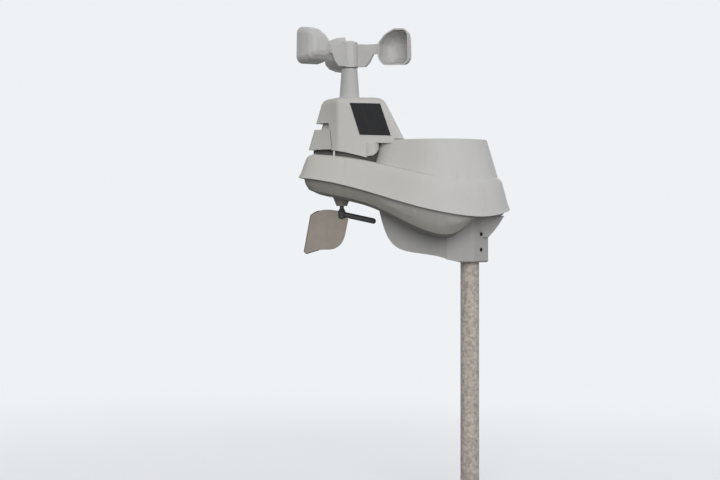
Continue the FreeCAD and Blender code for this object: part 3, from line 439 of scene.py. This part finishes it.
def bead(bm, trees, corners, side, width, height, closed):
    """A half-round bead laid on the tower's wall along a line in X and Z; side is -1 near, +1 far."""
    line = []
    for (x0, z0), (x1, z1) in zip(corners, corners[1:] + corners[:1] if closed else corners[1:]):
        pieces = max(2, round(math.hypot(x1 - x0, z1 - z0) / BEAD_STEP))
        line += [(x0 + (x1 - x0) * k / pieces, z0 + (z1 - z0) * k / pieces) for k in range(pieces)]
    if not closed:
        line.append(corners[-1])
    inward = Vector((0.0, -side, 0.0))
    landed = [landing(trees, Vector((x, side * RAY_START, z)), inward) for x, z in line]
    turns = [math.pi * j / BEAD_FLATS for j in range(BEAD_FLATS + 1)]
    rings = []
    for k, (place, normal) in enumerate(landed):
        before = landed[k - 1 if closed else max(k - 1, 0)][0]
        after = landed[(k + 1) % len(landed) if closed else min(k + 1, len(landed) - 1)][0]
        across = (after - before).normalized().cross(normal).normalized() * (width / 2)
        rise = normal * height
        ring = [place + across * math.cos(turn) + rise * math.sin(turn) for turn in turns]
        rings.append(ring + [place - across - rise, place + across - rise])
    loft(bm, rings, closed)


def panel_corners(name):
    """The four corners of a solar panel in X and Z, going round."""
    spots = {(round(v.co.x, 5), round(v.co.z, 5)) for v in NODES[name].data.vertices}
    middle = (sum(x for x, _ in spots) / len(spots), sum(z for _, z in spots) / len(spots))
    return sorted(spots, key=lambda spot: math.atan2(spot[1] - middle[1], spot[0] - middle[0])), middle


def dress(material, *names):
    """Gives one material to CAD nodes."""
    for name in names:
        node = NODES[name]
        if not node.data.materials:
            node.data.materials.append(material)
        for index in range(len(node.data.materials)):
            node.data.materials[index] = material
        for index in range(len(node.material_slots)):
            node.material_slots[index].material = material


def skin(material, body, slot, *names, crease=math.radians(34)):
    """Stands one continuous skin in for each CAD node, smooth across its faces and sharp at real edges."""
    for name in names:
        def build(bm, name=name):
            weld(bm, name)
            bmesh.ops.dissolve_degenerate(bm, edges=bm.edges, dist=SLIVER)
            for face in bm.faces:
                face.smooth = True
            for edge in bm.edges:
                edge.smooth = len(edge.link_faces) == 2 and edge.calc_face_angle(math.pi) < crease
        piece = new_piece(f"{name}_skin", build, body, material)
        even = piece.modifiers.new("even_normals", "WEIGHTED_NORMAL")
        even.keep_sharp = True
        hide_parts(name)


def finishes():
    return bpy.context.scene.sensor_head_finishes


# ---- operators ---------------------------------------------------------------------------------
class SENSORHEAD_OT_pale_mouldings(bpy.types.Operator):
    """Pale weathered plastic on the shells, the tower and the funnel"""
    bl_idname = "sensorhead.pale_mouldings"
    bl_label = "Pale mouldings"

    def execute(self, context):
        settings = finishes()
        material = moulded_plastic("pale_plastic", settings.shell, settings.grime, yellowing=0.55)
        skin(material, HEAD, "shell_plastic", "upper_shell", "tower_cap", "tower_skirt_near",
             "tower_skirt_far", "tower_louvre")
        dress(material, "rain_funnel", "tower_core")
        return {"FINISHED"}


class SENSORHEAD_OT_tower_trim(bpy.types.Operator):
    """Panel bezels, dark beads of painted shadow on the seams beside the louvre and a dark sleeve of painted
    shade under the tower
    """
    bl_idname = "sensorhead.tower_trim"
    bl_label = "Tower trim"

    def execute(self, context):
        settings = finishes()
        pale = moulded_plastic("bezel_plastic", rgba(settings.shell, 1.06), settings.grime * 0.4)
        # painted shadow: a dark bead along the parting line beside the louvre stands in for the shadow in the
        # joint
        dark = moulded_plastic("seam_shadow_plastic", settings.dark, 0.3, texture=0.25, roughness=0.6)
        for side, label in SIDES:
            self.bezel(side, label, settings.bezel, pale)
            self.seam(side, label, settings.seam, dark)
        # painted shade: a dark sleeve round the core's foot fills the gap under the tower, where shade falls
        gap_shade = moulded_plastic("gap_shade_plastic", settings.gap_shade, 0.3, texture=0.25, roughness=0.6)
        new_piece("tower_gap_shade", self.gap_shade, HEAD, gap_shade)
        return {"FINISHED"}

    def bezel(self, side, label, width, material):
        corners, (x, z) = panel_corners(f"solar_panel_{label}")
        grown = []
        for corner_x, corner_z in corners:
            growth = 1 + width * BEZEL_OUT / math.hypot(corner_x - x, corner_z - z)
            grown.append((x + (corner_x - x) * growth, z + (corner_z - z) * growth))
        walls = surface_of("tower_cap", f"tower_skirt_{label}")
        new_piece(f"panel_bezel_{label}",
                  lambda bm: bead(bm, walls, grown, side, width, width * BEZEL_RISE, True),
                  HEAD, material)

    # painted shadow: lays the dark bead along the louvre's parting line
    def seam(self, side, label, width, material):
        low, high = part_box("tower_louvre")
        walls = surface_of(f"tower_skirt_{label}", "tower_louvre", "tower_cap")
        lean = (high.z - low.z) * SEAM_LEAN
        line = [(high.x + width, low.z + SEAM_FOOT), (high.x + width - lean, high.z - SEAM_HEAD)]
        new_piece(f"louvre_seam_shadow_{label}",
                  lambda bm: bead(bm, walls, line, side, width, width * SEAM_RISE, False),
                  HEAD, material)

    def gap_shade(self, bm):
        """A dark sleeve of painted shade round the core's foot that closes the gap between the tower and the
        collector.
        """
        low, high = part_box("tower_core")
        core = surface_of("tower_core")
        centre = Vector((low.x + (high.x - low.x) * GAP_SHADE_CENTRE, 0.0, low.z + GAP_SHADE_LIFT))
        plan = []
        for k in range(GAP_SHADE_FLATS + 1):
            turn = math.pi * (0.5 + k / GAP_SHADE_FLATS)
            out = Vector((math.cos(turn), math.sin(turn), 0.0))
            plan.append(landing(core, centre + out * GAP_SHADE_RAY, -out)[0] + out * GAP_SHADE_OUT)
        for y, steps in ((plan[-1].y, (0.0, 1.0)), (plan[0].y, (1.0, 0.0))):
            plan += [Vector((high.x + GAP_SHADE_TAIL + GAP_SHADE_RUN * step, y * (1 - GAP_SHADE_TAPER * step), 0.0))
                     for step in steps]
        loft(bm, [[(point.x, point.y, low.z + level) for point in plan] for level in GAP_SHADE_LEVELS])


class SENSORHEAD_OT_housing(bpy.types.Operator):
    """Mid-grey plastic on the lower housing, with painted shade on its downward faces, and black sleeves of
    painted shade in the wells of the clamp screws
    """
    bl_idname = "sensorhead.housing"
    bl_label = "Lower housing"

    def execute(self, context):
        settings = finishes()
        # painted shade: a strong share darkens the housing's downward faces, as if in shadow under the shells
        hull = moulded_plastic("housing_plastic", settings.housing, settings.grime, texture=0.2,
                               roughness=0.55, underside_shade=1.5)
        skin(hull, HEAD, "hull_plastic", "lower_housing")
        # painted shade: black sleeves stand in for the shade deep in the screw wells
        well_shade = moulded_plastic("well_shade_plastic", settings.screw, 0.2, texture=0.2, roughness=0.6)
        new_piece("clamp_well_shade", self.well_shades, HEAD, well_shade)
        return {"FINISHED"}

    def well_shades(self, bm):
        """A black sleeve of painted shade in the well over each clamp screw."""
        screws = {}
        for vertex in NODES["clamp_screws"].data.vertices:
            spot = vertex.co
            screw = (spot.y > 0.0, spot.x > 0.0, round((spot.z - SOCKET_Z) / SCREW_PITCH))
            screws.setdefault(screw, []).append(spot.copy())
        radius = finishes().well_shade
        for points in screws.values():
            middle = sum(points, Vector()) / len(points)
            out = Vector((middle.x, middle.y, 0.0)).normalized()
            end = max(point.dot(out) for point in points)
            loft(bm, [circle(out * (end + along) + Z * middle.z, out.cross(Z), Z, radius * share, WELL_SHADE_FLATS)
                      for along, share in WELL_SHADE_RINGS], True)


class SENSORHEAD_OT_rotor(bpy.types.Operator):
    """Plastic on the cup rotor, and a darker copy of it on the wind post as painted shade"""
    bl_idname = "sensorhead.rotor"
    bl_label = "Wind rotor and post"

    def execute(self, context):
        settings = finishes()
        cups = moulded_plastic("cup_plastic", rgba(settings.shell, 0.98), settings.grime * 0.7, texture=0.08)
        skin(cups, ROTOR, "shell_plastic", "wind_cup_1", "wind_cup_2", "wind_cup_3", crease=math.radians(55))
        dress(cups, "wind_hub", "hub_cap")
        # painted shade: the post gets a darker copy of the shell plastic, for the shade under the rotor
        dress(moulded_plastic("post_plastic", settings.shaded_post, settings.grime), "wind_post")
        return {"FINISHED"}


class SENSORHEAD_OT_vane(bpy.types.Operator):
    """Warm grey blade with painted shade on its edge and a dark bead of painted shade along it, black arm
    with a rounded end, brass bush
    """
    bl_idname = "sensorhead.vane"
    bl_label = "Wind vane"

    def execute(self, context):
        settings = finishes()
        dress(vane_plastic("vane_plastic", settings.vane, settings.grime), "vane_blade")
        black = moulded_plastic("arm_plastic", settings.dark, 0.25, texture=0.3, roughness=0.5)
        dress(black, "vane_arm", "vane_shaft")
        dress(machined_metal("bush_brass", (0.62, 0.44, 0.18)), "vane_bush")
        new_piece("vane_arm_tip", self.tip, VANE, black)
        # painted shade: a dark bead at a third of the vane's colour lies along the blade's edge, where shade
        # falls
        edge_shade_bead = vane_plastic("edge_shade_plastic", rgba(settings.vane, 0.35), settings.grime)
        for side, label in SIDES:
            new_piece(f"vane_edge_shade_{label}", lambda bm, side=side: self.edge_shade_bead(bm, side, settings.edge_shade_bead), VANE, edge_shade_bead)
        return {"FINISHED"}

    def edge_shade_bead(self, bm, side, radius):
        """A fine dark bead of painted shade down the blade's free edge and along the first part of its top,
        on one face.
        """
        blade = bmesh.new()
        weld(blade, "vane_blade")
        faces = [face for face in blade.faces if face.normal.y * side > FACING]
        after = {}
        for face in faces:
            for loop in face.loops:
                if sum(near in faces for near in loop.edge.link_faces) == 1:
                    after[loop.vert] = loop.link_loop_next.vert
        corner = max(after, key=lambda spot: spot.co.x)
        line = []
        while corner in after and len(line) < len(after):
            line.append(corner.co.copy())
            corner = after[corner]
        blade.free()
        low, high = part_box("vane_blade")
        reach = low.x + (high.x - low.x) * EDGE_SHADE_SPAN
        line = [spot for spot in line
                if spot.x < reach and (spot.z > low.z + EDGE_SHADE_FOOT or spot.x < low.x + EDGE_SHADE_FOOT)]
        rings = []
        for k, spot in enumerate(line):
            ahead = (line[min(k + 1, len(line) - 1)] - line[max(k - 1, 0)]).normalized()
            rings.append(circle(spot, ahead.cross(Y).normalized(), Y, radius, EDGE_SHADE_FLATS))
        loft(bm, rings)

    def tip(self, bm):
        """The domed end of the arm, which faces along X and fits the ring at the arm's free end."""
        points = [v.co for v in NODES["vane_arm"].data.vertices]
        far = max(point.x for point in points)
        end = [point for point in points if point.x > far - TIP_END]
        middle = sum(end, Vector()) / len(end)
        radius = TIP_GROWTH * max((point - middle).yz.length for point in end)
        rings = []
        for k in range(TIP_RINGS):
            turn = math.pi / 2 * k / TIP_RINGS
            centre = middle + X * (radius * math.sin(turn) - TIP_SINK)
            rings.append(circle(centre, Z, Y, radius * math.cos(turn), TIP_FLATS))
        loft(bm, rings)


class SENSORHEAD_OT_pole(bpy.types.Operator):
    """Galvanised zinc on the pole"""
    bl_idname = "sensorhead.pole"
    bl_label = "Pole"

    def execute(self, context):
        dress(galvanised_steel("pole_zinc", finishes().zinc), "pole")
        return {"FINISHED"}


class SENSORHEAD_OT_solar_panels(bpy.types.Operator):
    """Solar cells under clear resin"""
    bl_idname = "sensorhead.solar_panels"
    bl_label = "Solar panels"

    def execute(self, context):
        dress(solar_cells("solar_cells", finishes().cells), "solar_panel_near", "solar_panel_far")
        return {"FINISHED"}


class SENSORHEAD_OT_inner_parts(bpy.types.Operator):
    """Dark plastics, boards and metals of the inner mechanisms"""
    bl_idname = "sensorhead.inner_parts"
    bl_label = "Inner parts"

    def execute(self, context):
        settings = finishes()
        dark = moulded_plastic("dark_plastic", settings.dark, 0.3, texture=0.2, roughness=0.5)
        dress(dark, "bucket_cradle", "tipping_bucket", "reed_switch", "sensor_socket", "fan_frame",
              "fan_rotor")
        dress(moulded_plastic("screen_plastic", (0.2, 0.2, 0.2), 0.4), "debris_screen")
        dress(moulded_plastic("pin_plastic", (0.62, 0.62, 0.58), 0.2), "status_pin")
        dress(circuit_board("board_mask", (0.02, 0.12, 0.05)), "circuit_board", "climate_sensor")
        dress(machined_metal("shield_tin", (0.6, 0.6, 0.6), roughness=0.35), "radio_module", "bucket_magnet")
        return {"FINISHED"}


class SENSORHEAD_OT_metal_parts(bpy.types.Operator):
    """Stainless steel on the housing screws and shafts, near-black on the clamp screws as painted shade in
    their wells
    """
    bl_idname = "sensorhead.metal_parts"
    bl_label = "Screws and shafts"

    def execute(self, context):
        steel = machined_metal("stainless", (0.52, 0.52, 0.52))
        dress(steel, "housing_screws", "wind_shaft", "wind_washer", "bucket_axle")
        # painted shade: the clamp screws are near-black so that their wells read as shaded
        black = moulded_plastic("screw_well_shade_black", finishes().screw, 0.2, texture=0.3, roughness=0.6)
        dress(black, "clamp_screws")
        return {"FINISHED"}


class SENSORHEAD_OT_stage(bpy.types.Operator):
    """Pale floor, soft lamps and the camera"""
    bl_idname = "sensorhead.stage"
    bl_label = "Stage"

    def execute(self, context):
        scene = context.scene
        stage = scene.sensor_head_stage
        self.camera(scene, stage)
        self.floor(stage)
        self.lamps(stage)
        self.sky(scene, stage)
        scene.view_settings.view_transform = "Standard"
        return {"FINISHED"}

    def camera(self, scene, stage):
        data = bpy.data.cameras.new("camera")
        camera = bpy.data.objects.new("camera", data)
        data.lens = stage.lens
        data.shift_y = stage.shift
        camera.location = (stage.side, -stage.distance, SOCKET_Z + stage.eye_above_socket)
        camera.rotation_euler = (math.pi / 2, 0.0, 0.0)
        bpy.context.collection.objects.link(camera)
        scene.camera = camera

    def floor(self, stage):
        """A disc that keeps the shadow near the object and runs into the backdrop's colour further out."""
        mesh = bpy.data.meshes.new("floor")
        bm = bmesh.new()
        bmesh.ops.create_circle(bm, cap_ends=True, segments=96, radius=FLOOR_R)
        bm.to_mesh(mesh)
        bm.free()
        floor = bpy.data.objects.new("floor", mesh)
        floor.location.z = -FLOOR_DROP
        bpy.context.collection.objects.link(floor)
        finish = Finish("floor_paper", Roughness=0.9, Specular_IOR_Level=0.0)
        seen = finish.seen()
        mottled = finish.blend(finish.noise(3.0), rgba(stage.floor, 0.985), rgba(stage.floor))
        finish.feed("Base Color", finish.blend(seen, rgba(stage.floor, stage.bounce), mottled))
        radius = finish.node("ShaderNodeVectorMath", {"operation": "LENGTH"}, finish.stretched(1.0, 1.0, 0.0),
                             output="Value")
        glow = finish.node("ShaderNodeEmission", {}, rgba(stage.backdrop), 1.0)
        both = finish.node("ShaderNodeMixShader", {}, finish.ramp(radius, *FLOOR_FADE) * seen,
                           finish.shader.outputs[0], glow)
        finish.plug(finish.tree.nodes["Material Output"], "Surface", both)
        mesh.materials.append(finish.material)

    def lamps(self, stage):
        for name, place, size, share in LAMPS:
            data = bpy.data.lights.new(name, "AREA")
            data.energy = stage.key * share
            data.size = size
            lamp = bpy.data.objects.new(name, data)
            lamp.location = place
            lamp.rotation_euler = (LAMP_AIM - Vector(place)).to_track_quat("-Z", "Y").to_euler()
            bpy.context.collection.objects.link(lamp)

    def sky(self, scene, stage):
        """Even light from above, little from below, and the backdrop's plain colour wherever it is seen."""
        world = bpy.data.worlds.new("studio")
        scene.world = world
        world.use_nodes = True
        sky = Nodes(world.node_tree)
        height = sky.axis(sky.node("ShaderNodeTexCoord", {}, output="Generated"), "Z")
        even = sky.blend(sky.ramp(height, -0.25, 0.7), (stage.low, stage.low, stage.low, 1.0),
                         (stage.fill, stage.fill, stage.fill * 1.02, 1.0))
        glow = sky.tree.nodes["Background"]
        sky.plug(glow, "Color", sky.blend(sky.seen(), even, rgba(stage.backdrop)))
        sky.plug(glow, "Strength", 1.0)


OPERATORS = (
    SENSORHEAD_OT_pale_mouldings, SENSORHEAD_OT_tower_trim, SENSORHEAD_OT_housing, SENSORHEAD_OT_rotor,
    SENSORHEAD_OT_vane, SENSORHEAD_OT_pole, SENSORHEAD_OT_solar_panels, SENSORHEAD_OT_inner_parts,
    SENSORHEAD_OT_metal_parts, SENSORHEAD_OT_stage,
)


class SENSORHEAD_PT_panel(bpy.types.Panel):
    """Lists the steps that dress the sensor head"""
    bl_idname = "SENSORHEAD_PT_panel"
    bl_label = "Sensor Head"
    bl_space_type = "VIEW_3D"
    bl_region_type = "UI"
    bl_category = "Sensor Head"

    def draw(self, context):
        for group in (context.scene.sensor_head_finishes, context.scene.sensor_head_stage):
            for name in group.__annotations__:
                self.layout.prop(group, name)
        for operator in OPERATORS:
            self.layout.operator(operator.bl_idname)


CLASSES = (SensorHeadFinishes, SensorHeadStage, *OPERATORS, SENSORHEAD_PT_panel)


def register():
    for item in CLASSES:
        bpy.utils.register_class(item)
    bpy.types.Scene.sensor_head_finishes = bpy.props.PointerProperty(type=SensorHeadFinishes)
    bpy.types.Scene.sensor_head_stage = bpy.props.PointerProperty(type=SensorHeadStage)


def unregister():
    del bpy.types.Scene.sensor_head_stage
    del bpy.types.Scene.sensor_head_finishes
    for item in reversed(CLASSES):
        bpy.utils.unregister_class(item)


def main():
    register()
    for operator in OPERATORS:
        group, name = operator.bl_idname.split(".")
        getattr(getattr(bpy.ops, group), name)()


if __name__ == "__main__":
    main()
